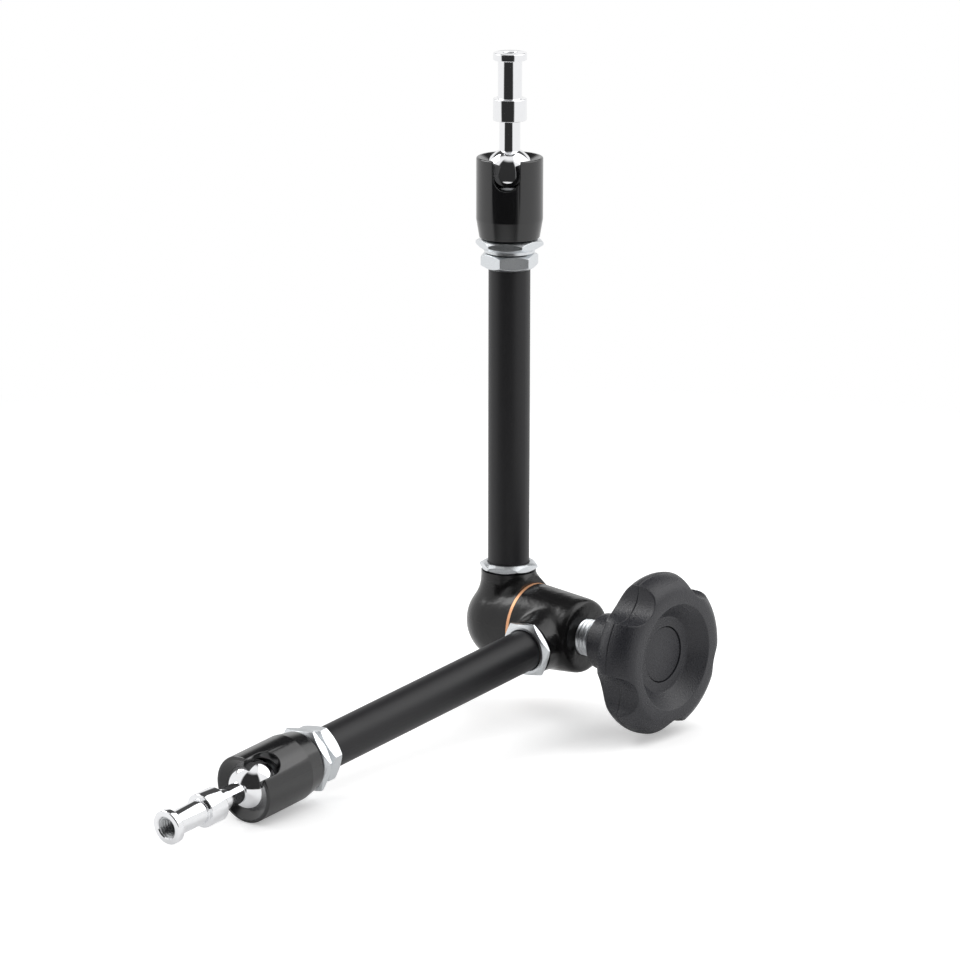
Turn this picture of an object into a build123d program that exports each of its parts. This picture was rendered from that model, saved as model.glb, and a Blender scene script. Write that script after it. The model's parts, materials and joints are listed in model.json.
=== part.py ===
from build123d import *
from math import cos, hypot, radians, sin, sqrt, tan
import os

# An articulating friction arm: two tubes on an elbow, each with a ball stud in a notched socket.
# One knob drives a double cone along the elbow axis. The cones push a rod out along each tube,
# and each rod presses a cup against its ball.
# Sizes are millimetres and degrees.
# The part's frame has its origin in the middle of the lower stud's collar, on the stud's axis.
# +Z runs up along the upper arm and +X along the elbow axis, towards the knob.
# Each arm is drawn about its own axis: height is measured from the elbow axis, outwards.

# Layout of the two arms
arm_offset = 33.6
lower_arm_slope = 6.14
upper_notch_turn = -56.5
lower_notch_turn = 54.0

# Elbow castings
casting_r = 20.4
casting_face_x = 15.0
lower_casting_length = 32.3
lower_casting_end_r = 17.9
casting_end_round = 3.0
boss_r = 13.3
boss_height = 25.3
boss_straight = 3.3
boss_edge = 0.6
casting_edge = 0.4
tube_seat_depth = 9.3

# Friction washer and pivot
washer_thickness = 1.6
pivot_shank_r = 10.0
pivot_depth = 9.4
pivot_flange_r = 13.4
pivot_flange_thickness = 3.0
retaining_ring_r = 14.2
retaining_ring_thickness = 3.5

# Double cone, rods, cups and guides
cone_slope = 15.5
cone_length = 9.0
upper_cone_small_r = 1.5
spindle_shoulder = 2.0
spindle_room = 0.3
rod_r = 4.0
pad_r = 11.7
pad_length = 6.6
pad_release = 0.9
guide_length = 12.0
guide_height = 40.0

# Tubes
tube_r = 10.0
tube_wall = 1.5

# Jam nut, adaptor and lock nut
jam_nut_across_flats = 25.3
jam_nut_thickness = 4.0
jam_nut_step = 1.0
upper_jam_nut_turn = 26.0
lower_jam_nut_turn = 6.5
adaptor_height = 174.0
adaptor_across_flats = 24.3
adaptor_hex_length = 7.9
adaptor_step = 1.3
upper_adaptor_turn = -9.5
lower_adaptor_turn = 6.5
adaptor_tube_depth = 13.0
nipple_r = 12.0
nipple_length = 23.2
nipple_gap = 1.5
nipple_edge = 1.0
lock_nut_across_flats = 28.4
lock_nut_thickness = 5.5
lock_nut_step = 1.6
upper_lock_nut_turn = 31.5
lower_lock_nut_turn = 5.0
nut_chamfer_slope = 30.0
nut_countersink = 0.5

# Ball socket
socket_r = 15.9
socket_length = 38.6
socket_taper_length = 8.9
socket_foot_r = 14.4
socket_gap = 0.2
rim_edge = 0.9
rim_flat = 0.7
aperture_r = 10.6
notch_half_width = 6.45

# Ball studs
ball_r = 12.0
ball_depth = 7.8
neck_r = 4.9
neck_length = 25.3
spigot_r = 7.94
collar_length = 10.45
waist_r = 5.66
waist_length = 18.35
flange_length = 3.5
stud_edge = 0.5
upper_tap_r = 2.55
lower_tap_r = 4.0
upper_mouth_r = 3.4
lower_mouth_r = 4.85
tap_depth = 16.0

# Knob, its screw and its cap
knob_gap = 10.2
knob_neck_r = 13.6
knob_neck_flare = 0.05
knob_shoulder_r = 18.0
knob_shoulder_x = 18.7
knob_shoulder_lean = 0.35
knob_back_r = 32.8
knob_back_x = 22.4
knob_r = 38.9
knob_widest_x = 31.4
knob_length = 43.8
knob_face_r = 30.0
dish_r = 25.65
dish_depth = 7.5
dish_floor_r = 18.4
scallops = 5
scallop_r = 13.7
scallop_valley_r = 30.9
scallop_turn = 38.9
screw_r = 9.0
screw_mouth = 0.3
screw_head_across_flats = 22.6
screw_head_length = 9.0
cap_r = 13.25
cap_thickness = 3.0
cap_recess = 0.5
cap_gap = 0.3
cap_edge = 0.3
journal_r = 3.0
journal_length = 9.0
journal_end_gap = 1.0

# Clearances
running_gap = 0.05
free_gap = 0.1

# Places along an arm, from the elbow axis outwards
tube_start = boss_height - tube_seat_depth
tube_end = adaptor_height + adaptor_tube_depth
nipple_start = adaptor_height + adaptor_hex_length
nipple_end = nipple_start + nipple_length
pad_start = nipple_end + pad_release
lock_nut_start = nipple_start + nipple_gap
socket_start = lock_nut_start + lock_nut_thickness + socket_gap
socket_rim = socket_start + socket_length
ball_height = socket_rim - ball_depth
collar_start = ball_height + neck_length
collar_middle = collar_start + collar_length / 2
seat_r = ball_r + running_gap
rod_bore_r = rod_r + running_gap

# Places along the elbow axis, from the upper arm's axis towards the knob
lower_face_x = casting_face_x + washer_thickness
casting_end_x = lower_face_x + lower_casting_length
pivot_end_x = lower_face_x + pivot_depth
ring_x = casting_face_x - free_gap - retaining_ring_thickness
pivot_flange_x = ring_x - free_gap - pivot_flange_thickness
knob_x = casting_end_x + knob_gap

# Cone radii: each rod stands over the middle of its cone
cone_rise = cone_length * tan(radians(cone_slope))
upper_cone_r = upper_cone_small_r + cone_rise / 2
spindle_r = upper_cone_small_r + cone_rise
lower_cone_r = spindle_r + cone_rise / 2
spindle_shank_r = spindle_r + cone_rise
spindle_end_x = arm_offset + cone_length / 2 + spindle_shoulder

# Frames of the two arms and of the elbow axis
slope = radians(lower_arm_slope)
elbow = Vector(0, collar_middle * cos(slope), collar_middle * sin(slope))
upper_elbow = elbow - Vector(arm_offset, 0, 0)
upper_arm = Plane(origin=upper_elbow, x_dir=(1, 0, 0), z_dir=(0, 0, 1))
lower_arm = Plane(origin=elbow, x_dir=(1, 0, 0), z_dir=(0, -cos(slope), -sin(slope)))
elbow_axis = Plane(origin=upper_elbow, x_dir=(0, 0, 1), z_dir=(1, 0, 0))
cross_axis = Plane(origin=(0, 0, 0), x_dir=(0, 0, 1), z_dir=(1, 0, 0))


def turned(outline):
    """A piece turned about its own axis from (radius, height) points."""
    return revolve(Plane.XZ * make_face(Polyline(*outline, close=True)), Axis.Z)


def turned_edges(edges):
    """A piece turned about its own axis from lines and arcs in (radius, height)."""
    return revolve(Plane.XZ * make_face(edges), Axis.Z)


def bore(radius, start, end):
    """A round hole or shaft on the axis, between two heights."""
    return Pos(0, 0, start) * Cylinder(radius, end - start, align=(Align.CENTER, Align.CENTER, Align.MIN))


def hex_bar(across_flats, start, end):
    """A hexagonal bar on the axis, with a corner in the X direction."""
    return Pos(0, 0, start) * extrude(RegularPolygon(across_flats / 2, 6, major_radius=False), end - start)


def countersink(radius, depth, face, way):
    """A cone that widens a hole at its mouth. The way is 1 if the hole runs up from the face, or -1."""
    floor = face + way * depth
    return turned([(0, face), (radius + depth, face), (radius, floor), (0, floor)])


def nut_blank(across_flats, step, start, end, turn):
    """A hexagon turned down to a cone at each face, whose round edge lies a step inside the flats."""
    face_r = across_flats / 2 - step
    middle_r = face_r + (end - start) / 2 / tan(radians(nut_chamfer_slope))
    envelope = turned([(0, start), (face_r, start), (middle_r, (start + end) / 2), (face_r, end), (0, end)])
    return Rot(0, 0, turn) * hex_bar(across_flats, start, end) & envelope


def boss(body_r):
    """The tube boss of a casting, with a hollow flare down to a ball of the body's radius."""
    arc_height = boss_height - boss_straight
    flare_r = (boss_r**2 + arc_height**2 - body_r**2) / (2 * (body_r - boss_r))
    centre = Vector(boss_r + flare_r, arc_height)
    foot = centre * (body_r / centre.length)
    middle = centre + (Vector(-1, 0) - centre / centre.length).normalized() * flare_r
    top = boss_height - boss_edge
    return turned_edges([
        Line((0, foot.Y), (foot.X, foot.Y)),
        ThreePointArc((foot.X, foot.Y), (middle.X, middle.Y), (boss_r, arc_height)),
        Line((boss_r, arc_height), (boss_r, top)),
        Line((boss_r, top), (boss_r - boss_edge, boss_height)),
        Line((boss_r - boss_edge, boss_height), (0, boss_height)),
        Line((0, boss_height), (0, foot.Y)),
    ])


def tube_and_rod_bores():
    """The holes along an arm in its casting: the tube's seat and the rod's bore."""
    return bore(tube_r, tube_start, boss_height) + bore(rod_bore_r, 0, tube_start)


def upper_casting():
    """The elbow half with a domed back, which turns on the pivot."""
    dome = turned_edges([
        CenterArc((0, 0), casting_r, -90, 90),
        Line((casting_r, 0), (casting_r, casting_face_x - casting_edge)),
        Line((casting_r, casting_face_x - casting_edge), (casting_r - casting_edge, casting_face_x)),
        Line((casting_r - casting_edge, casting_face_x), (0, casting_face_x)),
        Line((0, casting_face_x), (0, -casting_r)),
    ])
    side = 4 * casting_r
    trim = Pos(casting_face_x - casting_edge - side / 2, 0, 0) * Box(side, side, side)
    body = cross_axis * dome + (boss(casting_r) & trim)
    spindle_bore = bore(spindle_r + spindle_room, -cone_length, casting_face_x)
    flange_bore = bore(pivot_flange_r + running_gap, pivot_flange_x - free_gap, casting_face_x)
    ring_bore = bore(retaining_ring_r, ring_x, casting_face_x)
    return body - cross_axis * (spindle_bore + flange_bore + ring_bore) - tube_and_rod_bores()


def lower_casting():
    """The elbow half that holds the pivot, with the screw's thread in its far end."""
    face = lower_face_x - arm_offset
    end = casting_end_x - arm_offset
    taper = (casting_r - lower_casting_end_r) / lower_casting_length
    round_r = casting_end_round
    shoulder_r = lower_casting_end_r + taper * round_r
    corner = Vector(shoulder_r - round_r * (1 - sqrt(0.5)), end - round_r * (1 - sqrt(0.5)))
    barrel = turned_edges([
        Line((0, face), (casting_r - casting_edge, face)),
        Line((casting_r - casting_edge, face), (casting_r, face + casting_edge)),
        Line((casting_r, face + casting_edge), (shoulder_r, end - round_r)),
        ThreePointArc((shoulder_r, end - round_r), (corner.X, corner.Y), (shoulder_r - round_r, end)),
        Line((shoulder_r - round_r, end), (0, end)),
        Line((0, end), (0, face)),
    ])
    body_r = casting_r + taper * face
    side = 4 * casting_r
    trim = Pos((face + end) / 2, 0, 0) * Box(lower_casting_length - 2 * casting_edge, side, side)
    body = cross_axis * barrel + (boss(body_r) & trim)
    pivot_bore = bore(pivot_shank_r, face, pivot_end_x - arm_offset)
    spindle_bore = bore(spindle_shank_r + free_gap, face, end)
    screw_bore_r = screw_r + running_gap
    screw_bore = bore(screw_bore_r, spindle_end_x - arm_offset, end)
    mouth = countersink(screw_bore_r, screw_mouth, end, -1)
    return body - cross_axis * (pivot_bore + spindle_bore + screw_bore + mouth) - tube_and_rod_bores()


def tube():
    """The arm's tube, from its seat in the casting to its seat in the adaptor."""
    return bore(tube_r, tube_start, tube_end) - bore(tube_r - tube_wall, tube_start, tube_end)


def jam_nut(turn):
    """The thin nut that locks the tube in the casting."""
    end = boss_height + jam_nut_thickness
    blank = nut_blank(jam_nut_across_flats, jam_nut_step, boss_height, end, turn)
    return blank - bore(tube_r, boss_height, end) - countersink(tube_r, nut_countersink, end, -1)


def hex_adaptor(turn):
    """The adaptor on the tube: a hexagon, then a threaded nipple that the rod slides through."""
    hexagon = nut_blank(adaptor_across_flats, adaptor_step, adaptor_height, nipple_start, turn)
    nipple = bore(nipple_r, nipple_start, nipple_end)
    lip = nipple.edges().group_by(Axis.Z)[-1]
    body = hexagon + chamfer(lip, nipple_edge)
    seat =bore(tube_r, adaptor_height, tube_end) + countersink(tube_r, nut_countersink, adaptor_height, 1)
    return body - seat - bore(rod_bore_r, tube_end, nipple_end)


def lock_nut(turn):
    """The wide nut that locks the socket on the nipple."""
    end = lock_nut_start + lock_nut_thickness
    blank = nut_blank(lock_nut_across_flats, lock_nut_step, lock_nut_start, end, turn)
    return blank - bore(nipple_r, lock_nut_start, end)


def socket(notch_turn):
    """The ball socket, with a dished mouth and a notch that lets the stud lie at a right angle."""
    taper_end = socket_start + socket_taper_length
    rim_r = socket_r - rim_edge
    dish_edge_r = rim_r - rim_flat
    aperture_height = ball_height + sqrt(seat_r**2 - aperture_r**2)
    seat_middle = Vector(aperture_r + seat_r, aperture_height - ball_height).normalized() * seat_r
    shell = turned_edges([
        Line((seat_r, socket_start), (socket_foot_r, socket_start)),
        Line((socket_foot_r, socket_start), (socket_r, taper_end)),
        Line((socket_r, taper_end), (socket_r, socket_rim - rim_edge)),
        ThreePointArc(
            (socket_r, socket_rim - rim_edge),
            (socket_r - rim_edge * (1 - sqrt(0.5)), socket_rim - rim_edge * (1 - sqrt(0.5))),
            (rim_r, socket_rim),
        ),
        Line((rim_r, socket_rim), (dish_edge_r, socket_rim)),
        Line((dish_edge_r, socket_rim), (aperture_r, aperture_height)),
        ThreePointArc(
            (aperture_r, aperture_height),
            (seat_middle.X, ball_height + seat_middle.Y),
            (seat_r, ball_height),
        ),
        Line((seat_r, ball_height), (seat_r, socket_start)),
    ])
    slot_profile = Circle(notch_half_width) + Pos(0, socket_r) * Rectangle(2 * notch_half_width, 2 * socket_r)
    slot_plane = Plane(origin=(0, 0, ball_height), x_dir=(0, 1, 0), z_dir=(1, 0, 0))
    notch = extrude(slot_plane * slot_profile, 2 * socket_r)
    return Rot(0, 0, notch_turn) * (shell - notch)


def ball_stud(tap_r, mouth_r):
    """The ball, its neck, and the spigot's collar, waist and flange, with a threaded hole."""
    collar_end = collar_start + collar_length
    flange_start = collar_end + waist_length
    tip = flange_start + flange_length
    neck_height = ball_height + sqrt(ball_r**2 - neck_r**2)
    edge_r = spigot_r - stud_edge
    mouth = mouth_r - tap_r
    floor = tip - tap_depth
    return turned_edges([
        ThreePointArc((0, ball_height - ball_r), (ball_r, ball_height), (neck_r, neck_height)),
        Polyline(
            (neck_r, neck_height),
            (neck_r, collar_start),
            (edge_r, collar_start),
            (spigot_r, collar_start + stud_edge),
            (spigot_r, collar_end - stud_edge),
            (edge_r, collar_end),
            (waist_r, collar_end),
            (waist_r, flange_start),
            (edge_r, flange_start),
            (spigot_r, flange_start + stud_edge),
            (spigot_r, tip - stud_edge),
            (edge_r, tip),
            (mouth_r, tip),
            (tap_r, tip - mouth),
            (tap_r, floor),
            (0, floor - tap_r * tan(radians(30))),
            (0, ball_height - ball_r),
        ),
    ])


def ball_pad():
    """The cup that the rod presses against the ball, with room behind it to let the ball go."""
    disc = bore(pad_r, pad_start, pad_start + pad_length)
    return disc - Pos(0, 0, ball_height) * Sphere(seat_r)


def push_rod(cone_r):
    """The rod, with round tips: one on its cone, the other on the cup."""
    centre = cone_r + (rod_r + running_gap) / cos(radians(cone_slope))
    end = pad_start - rod_r
    tips = Pos(0, 0, centre) * Sphere(rod_r) + Pos(0, 0, end) * Sphere(rod_r)
    return bore(rod_r, centre, end) + tips


def rod_guide():
    """The bush that centres the rod in the tube."""
    end = guide_height + guide_length
    return bore(tube_r - tube_wall, guide_height, end) - bore(rod_bore_r, guide_height, end)


def pivot_sleeve():
    """The hollow pivot: its flange turns in the upper casting, its shank is fixed in the lower."""
    flange = bore(pivot_flange_r, pivot_flange_x, pivot_flange_x + pivot_flange_thickness)
    shank = bore(pivot_shank_r, pivot_flange_x, pivot_end_x)
    return flange + shank - bore(spindle_r + free_gap, pivot_flange_x, pivot_end_x)


def retaining_ring():
    """The threaded ring that keeps the pivot's flange in the upper casting."""
    end = ring_x + retaining_ring_thickness
    return bore(retaining_ring_r, ring_x, end) - bore(pivot_shank_r + running_gap, ring_x, end)


def friction_washer():
    """The washer that the two castings rub on."""
    disc = bore(casting_r, casting_face_x, lower_face_x)
    return disc - bore(pivot_shank_r, casting_face_x, lower_face_x)


def wedge_spindle():
    """The double cone: a small cone under the upper rod and a larger one under the lower rod."""
    half = cone_length / 2
    return turned([
        (0, -half),
        (upper_cone_small_r, -half),
        (spindle_r, half),
        (spindle_r, arm_offset - half),
        (spindle_shank_r, arm_offset + half),
        (spindle_shank_r, spindle_end_x),
        (journal_r, spindle_end_x),
        (journal_r, spindle_end_x + journal_length),
        (0, spindle_end_x + journal_length),
    ])


def knob_screw():
    """The screw: its hexagonal head sits in the knob, its end turns on the spindle's journal."""
    head = knob_x + knob_length - dish_depth - cap_recess - cap_thickness
    shank = bore(screw_r, spindle_end_x + free_gap, head - screw_head_length)
    journal_end = spindle_end_x + journal_length + journal_end_gap
    journal_bore = bore(journal_r + running_gap, spindle_end_x, journal_end)
    return shank + hex_bar(screw_head_across_flats, head - screw_head_length, head) - journal_bore


def knob_body():
    """The moulded knob: a flared back, finger scallops round the grip, and a dish in front."""
    face = knob_x + knob_length
    floor = face - dish_depth
    neck = Spline(
        (knob_neck_r, knob_x),
        (knob_shoulder_r, knob_x + knob_shoulder_x),
        tangents=[(knob_neck_flare, 1), (1, knob_shoulder_lean)],
    )
    back = Spline(
        (knob_shoulder_r, knob_x + knob_shoulder_x),
        (knob_back_r, knob_x + knob_back_x),
        (knob_r, knob_x + knob_widest_x),
        tangents=[(1, knob_shoulder_lean), (0, 1)],
    )
    front = Spline(
        (knob_r, knob_x + knob_widest_x),
        (knob_face_r, face),
        tangents=[(0, 1), (-1, 0)],
    )
    blank = turned_edges([
        neck,
        back,
        front,
        Line((knob_face_r, face), (dish_r, face)),
        Line((dish_r, face), (dish_floor_r, floor)),
        Line((dish_floor_r, floor), (0, floor)),
        Line((0, floor), (0, knob_x)),
        Line((0, knob_x), (knob_neck_r, knob_x)),
    ])
    grooves = PolarLocations(scallop_valley_r + scallop_r, scallops, start_angle=scallop_turn)
    grip = blank - grooves * bore(scallop_r, knob_x, face)
    head = floor - cap_recess - cap_thickness
    pocket = bore(cap_r + cap_gap, head, floor)
    socket_hex = hex_bar(screw_head_across_flats, head - screw_head_length, head)
    return grip - pocket - socket_hex - bore(screw_r, knob_x, head)


def knob_cap():
    """The cap over the screw's head."""
    top = knob_x + knob_length - dish_depth - cap_recess
    disc = bore(cap_r, top - cap_thickness, top)
    return chamfer(disc.edges().group_by(Axis.Z)[-1], cap_edge)


def arm_pieces(side, frame, casting, nut_turns, notch_turn, tap_r, mouth_r, cone_r):
    """Every piece of one arm, by name, in the part's frame."""
    jam_nut_turn, adaptor_turn, lock_nut_turn = nut_turns
    pieces = {
        "casting": casting,
        "tube": tube(),
        "jam_nut": jam_nut(jam_nut_turn),
        "hex_adaptor": hex_adaptor(adaptor_turn),
        "lock_nut": lock_nut(lock_nut_turn),
        "socket": socket(notch_turn),
        "ball_stud": ball_stud(tap_r, mouth_r),
        "ball_pad": ball_pad(),
        "push_rod": push_rod(cone_r),
        "rod_guide": rod_guide(),
    }
    return {f"{side}_{name}": frame * piece for name, piece in pieces.items()}


def elbow_pieces():
    """Every piece on the elbow axis, by name, in the part's frame."""
    pieces = {
        "pivot_sleeve": pivot_sleeve(),
        "pivot_retaining_ring": retaining_ring(),
        "friction_washer": friction_washer(),
        "wedge_spindle": wedge_spindle(),
        "knob_body": knob_body(),
        "knob_screw": knob_screw(),
        "knob_cap": knob_cap(),
    }
    return {name: elbow_axis * piece for name, piece in pieces.items()}


def main():
    os.makedirs("parts", exist_ok=True)
    upper_nut_turns = (upper_jam_nut_turn, upper_adaptor_turn, upper_lock_nut_turn)
    lower_nut_turns = (lower_jam_nut_turn, lower_adaptor_turn, lower_lock_nut_turn)
    nodes = arm_pieces(
        "upper",
        upper_arm,
        upper_casting(),
        upper_nut_turns,
        upper_notch_turn,
        upper_tap_r,
        upper_mouth_r,
        upper_cone_r,
    )
    nodes |= arm_pieces(
        "lower",
        lower_arm,
        lower_casting(),
        lower_nut_turns,
        lower_notch_turn,
        lower_tap_r,
        lower_mouth_r,
        lower_cone_r,
    )
    nodes |= elbow_pieces()
    for name, piece in nodes.items():
        export_step(piece, f"parts/{name}.step")


main()
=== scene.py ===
"""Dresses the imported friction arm: cast elbow, turned sockets and studs, nuts, knob and their finishes."""

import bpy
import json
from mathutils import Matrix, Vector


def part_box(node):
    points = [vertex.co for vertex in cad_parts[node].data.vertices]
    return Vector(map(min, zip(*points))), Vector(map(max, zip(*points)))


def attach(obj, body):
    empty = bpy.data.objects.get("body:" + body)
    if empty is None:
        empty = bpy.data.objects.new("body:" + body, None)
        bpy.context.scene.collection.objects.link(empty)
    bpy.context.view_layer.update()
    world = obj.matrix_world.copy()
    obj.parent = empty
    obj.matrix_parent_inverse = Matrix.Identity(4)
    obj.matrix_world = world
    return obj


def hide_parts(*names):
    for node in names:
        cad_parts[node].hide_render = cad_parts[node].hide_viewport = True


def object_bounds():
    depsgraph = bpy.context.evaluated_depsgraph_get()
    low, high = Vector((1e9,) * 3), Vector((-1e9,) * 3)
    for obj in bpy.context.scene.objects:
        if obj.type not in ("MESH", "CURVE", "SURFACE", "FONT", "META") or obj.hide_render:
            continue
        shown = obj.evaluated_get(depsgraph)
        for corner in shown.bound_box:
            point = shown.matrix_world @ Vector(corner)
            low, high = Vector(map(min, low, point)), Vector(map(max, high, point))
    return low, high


bl_info = {
    "name": "Articulating friction arm",
    "version": (1, 0, 0),
    "blender": (4, 5, 0),
    "location": "View3D > Sidebar > Friction arm",
    "description": "Makes the visible pieces and finishes of a friction arm around its packed model",
    "category": "Object",
}

import json
import math
from contextlib import contextmanager

import bmesh
import bpy
from bpy.props import FloatProperty, FloatVectorProperty, IntProperty, PointerProperty
from mathutils import Matrix, Vector

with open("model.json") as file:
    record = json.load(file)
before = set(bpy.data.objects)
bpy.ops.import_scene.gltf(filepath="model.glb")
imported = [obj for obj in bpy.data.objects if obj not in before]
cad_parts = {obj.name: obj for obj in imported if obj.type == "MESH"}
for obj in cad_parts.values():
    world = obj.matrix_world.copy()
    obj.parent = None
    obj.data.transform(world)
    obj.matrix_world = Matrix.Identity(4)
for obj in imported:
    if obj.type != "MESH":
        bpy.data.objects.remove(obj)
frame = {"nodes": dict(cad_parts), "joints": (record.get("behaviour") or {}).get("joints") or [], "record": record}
cad_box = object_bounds()

# Places of the two arms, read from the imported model
joints = {joint["name"]: joint for joint in frame["joints"]}
mounts = {mount["name"]: mount for mount in frame["record"]["mounts"]}
elbow = Vector(joints["elbow_pivot"]["pos_m"])
knob_axis = Vector(joints["elbow_pivot"]["axis"])
spigot_place = {side: Vector(mounts[f"{side}_spigot"]["pos_m"]) for side in ("upper", "lower")}
arm_axis = {side: Vector(mounts[f"{side}_spigot"]["axis"]) for side in ("upper", "lower")}
arm_offset = (spigot_place["lower"] - elbow).dot(knob_axis)
arm_foot = {"upper": elbow, "lower": elbow + arm_offset * knob_axis}

# The lower tilt turns the socket about the stud, and the upper one turns the stud in the socket
notch_way = {"upper": -1, "lower": 1}


def frame_of(origin, along, across):
    """The matrix of a frame whose Z is along and whose X is across."""
    side = along.cross(across)
    matrix = Matrix((across, side, along)).transposed().to_4x4()
    matrix.translation = origin
    return matrix


arm_frame = {side: frame_of(arm_foot[side], arm_axis[side], knob_axis) for side in arm_axis}
axis_frame = frame_of(elbow, knob_axis, Vector((0, 0, 1)))


def heights(node):
    """Where an upper arm's piece starts and ends, measured up from the elbow axis."""
    low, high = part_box(f"upper_{node}")
    return low.z - elbow.z, high.z - elbow.z


def reach(node):
    """Where a piece on the elbow axis starts and ends, measured towards the knob."""
    low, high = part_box(node)
    return low.x - elbow.x, high.x - elbow.x


def length(name, description, default):
    """A size in metres that a user can change."""
    return FloatProperty(name=name, description=description, default=default, unit="LENGTH", precision=5)


def angle_size(name, description, degrees):
    """An angle that a user can change."""
    default = math.radians(degrees)
    return FloatProperty(name=name, description=description, default=default, subtype="ANGLE")


def colour(name, description, default):
    """A colour that a user can change."""
    return FloatVectorProperty(name=name, description=description, default=default, subtype="COLOR", size=3)


washer_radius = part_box("friction_washer")[1].z - elbow.z


class CastingSizes(bpy.types.PropertyGroup):
    """Sizes of the two cast elbow halves."""

    body_radius: length("Body radius", "Radius of both barrels and of the domed back", washer_radius)
    end_radius: length("End radius", "Radius of the lower barrel at the knob's end", 0.0179)
    end_round: length("End round", "Rounding of the lower barrel's far edge", 0.003)
    boss_radius: length("Boss radius", "Radius of the boss round each tube", 0.0133)
    boss_straight: length("Straight boss", "Straight height of the boss above its flare", 0.0033)
    voxel: length("Voxel", "Grain of the mesh that blends barrel and boss", 0.00055)
    blend: IntProperty(name="Blend", description="Smoothing steps that round the inner corners", default=60)
    spare: length("Spare", "Metal left beyond each machined face before it is cut", 0.004)
    web_radius: length("Web radius", "Radius of the web's cone where it leaves the barrel", 0.0129)
    web_tip_radius: length("Web tip radius", "Radius of the web's cone at the boss's top", 0.0072)
    web_drop: length("Web drop", "From the boss's top down to where the cone leaves the barrel", 0.0079)
    web_shift: length("Web shift", "Distance of the cone's axis from the boss's axis", 0.008)
    web_depth: length("Web depth", "From the boss's top down to the cone's tip", 0.0006)
    hair: length("Hair", "Gap at the upper half's face and ring seat", 0.00003)


class SocketSizes(bpy.types.PropertyGroup):
    """Sizes of the ball sockets."""

    radius: length("Radius", "Outer radius", 0.0159)
    foot_radius: length("Foot radius", "Radius at the foot of the taper", 0.0144)
    taper: length("Taper", "Length of the taper", 0.0089)
    rim_edge: length("Rim edge", "Rounding of the rim", 0.0009)
    rim_flat: length("Rim flat", "Width of the rim's flat", 0.0007)
    aperture: length("Aperture", "Radius of the opening that holds the ball", 0.0106)
    running_gap: length("Running gap", "Gap round the ball", 0.00005)
    notch_width: length("Notch half width", "Half the width of the notch", 0.00645)
    notch_edge: length("Notch edge", "Rounding of the notch's outer edge", 0.0004)


class StudSizes(bpy.types.PropertyGroup):
    """Sizes of the ball studs."""

    ball_radius: length("Ball radius", "Radius of the ball", 0.012)
    neck_radius: length("Neck radius", "Radius of the neck between ball and collar", 0.0049)
    waist_radius: length("Waist radius", "Radius between collar and flange", 0.00566)
    spigot_radius: length("Spigot radius", "Radius of the collar and the flange", 0.00794)
    neck_length: length("Neck length", "From the ball's centre to the collar", 0.0253)
    collar_length: length("Collar length", "Length of the collar", 0.01045)
    waist_length: length("Waist length", "Length between collar and flange", 0.01835)
    edge: length("Edge", "Rounding of the turned edges", 0.0004)
    tip_edge: length("Tip edge", "Rounding of the flange's end", 0.0006)
    ball_depth: length("Ball depth", "Depth of the ball's centre below the socket's rim", 0.0078)


class KnobSizes(bpy.types.PropertyGroup):
    """Sizes of the knob."""

    scallops: IntProperty(name="Scallops", description="Number of finger scallops", default=5, min=3)
    neck_radius: length("Neck radius", "Radius of the neck at its end", 0.0136)
    shoulder_radius: length("Shoulder radius", "Radius where the neck turns into the back", 0.018)
    shoulder_place: length("Shoulder place", "Distance of the shoulder from the neck's end", 0.0187)
    grip_radius: length("Grip radius", "Largest radius of the grip", 0.0389)
    widest_place: length("Widest place", "Distance of the largest radius from the neck's end", 0.0314)
    face_radius: length("Face radius", "Radius where the grip's front turns flat", 0.030)
    scallop_radius: length("Scallop radius", "Radius of each scallop", 0.0137)
    valley: length("Valley", "Distance of a scallop's floor from the axis", 0.0309)
    scallop_turn: angle_size("Scallop turn", "Angle of the first scallop", 38.9)
    softness: length("Softness", "Rounding of the scallops' edges", 0.0010)
    seam: length("Seam", "Depth of the moulding line", 0.00032)
    seam_width: length("Seam width", "Width over which the moulding line fades", 0.00022)
    seam_place: length("Seam place", "Distance of the moulding line from the neck's end", 0.0322)
    seam_inner: length("Seam inner", "Radius inside which there is no moulding line", 0.0285)
    dish_radius: length("Dish radius", "Radius of the dish's edge", 0.02565)
    floor_radius: length("Floor radius", "Radius of the dish's flat floor", 0.0184)
    dish_depth: length("Dish depth", "Depth of the dish", 0.0075)
    cap_gap: length("Cap gap", "Gap round the cap", 0.0003)


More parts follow.
